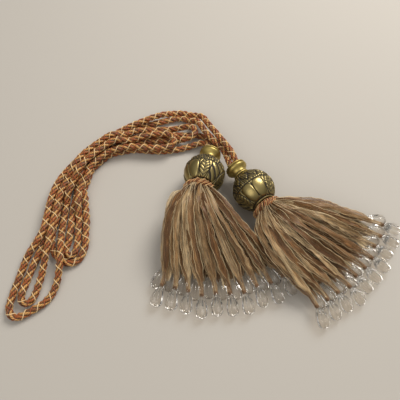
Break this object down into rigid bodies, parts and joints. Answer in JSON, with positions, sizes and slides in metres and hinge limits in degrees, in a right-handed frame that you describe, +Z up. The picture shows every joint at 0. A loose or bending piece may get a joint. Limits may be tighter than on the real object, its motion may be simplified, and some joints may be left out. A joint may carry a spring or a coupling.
{
  "type": "curtain tieback",
  "caption": "Curtain tieback with tassels on a folded twisted cord. Each has a turned collar, a cast leaf ball, a looped cord ruche and a sheer ribbon skirt ending in clear teardrop beads.",
  "frame": {"origin": "middle of the flat spot on which the left tassel's ball rests", "axes": "+Z up from the surface on which it lies, +X from the left tassel towards the right one, +Y towards the cord"},
  "size_m": [0.4347, 0.2817, 0.0496],
  "materials": {
    "cord": "twisted rust and gold viscose",
    "collar": "satin antique gold",
    "ball": "antique gold with dark patina",
    "ribbon": "sheer crumpled organza",
    "bead": "clear polished acrylic"
  },
  "bodies": {
    "root": {"ball_left": "ball", "ball_right": "ball", "bead_left_far_00": "bead", "bead_left_far_01": "bead", "bead_left_far_02": "bead", "bead_left_far_03": "bead", "bead_left_far_04": "bead", "bead_left_far_05": "bead", "bead_left_far_06": "bead", "bead_left_far_07": "bead", "bead_left_far_08": "bead", "bead_left_far_09": "bead", "bead_left_near_00": "bead", "bead_left_near_01": "bead", "bead_left_near_02": "bead", "bead_left_near_03": "bead", "bead_left_near_04": "bead", "bead_left_near_05": "bead", "bead_left_near_06": "bead", "bead_left_near_07": "bead", "bead_left_near_08": "bead", "bead_left_near_09": "bead", "bead_right_far_00": "bead", "bead_right_far_01": "bead", "bead_right_far_02": "bead", "bead_right_far_03": "bead", "bead_right_far_04": "bead", "bead_right_far_05": "bead", "bead_right_far_06": "bead", "bead_right_far_07": "bead", "bead_right_far_08": "bead", "bead_right_far_09": "bead", "bead_right_near_00": "bead", "bead_right_near_01": "bead", "bead_right_near_02": "bead", "bead_right_near_03": "bead", "bead_right_near_04": "bead", "bead_right_near_05": "bead", "bead_right_near_06": "bead", "bead_right_near_07": "bead", "bead_right_near_08": "bead", "bead_right_near_09": "bead", "collar_left": "collar", "collar_right": "collar", "cord_over": "cord", "cord_under": "cord", "ruche_left": "cord", "ruche_right": "cord", "skirt_left": "ribbon", "skirt_right": "ribbon"}
  },
  "joints": []
}
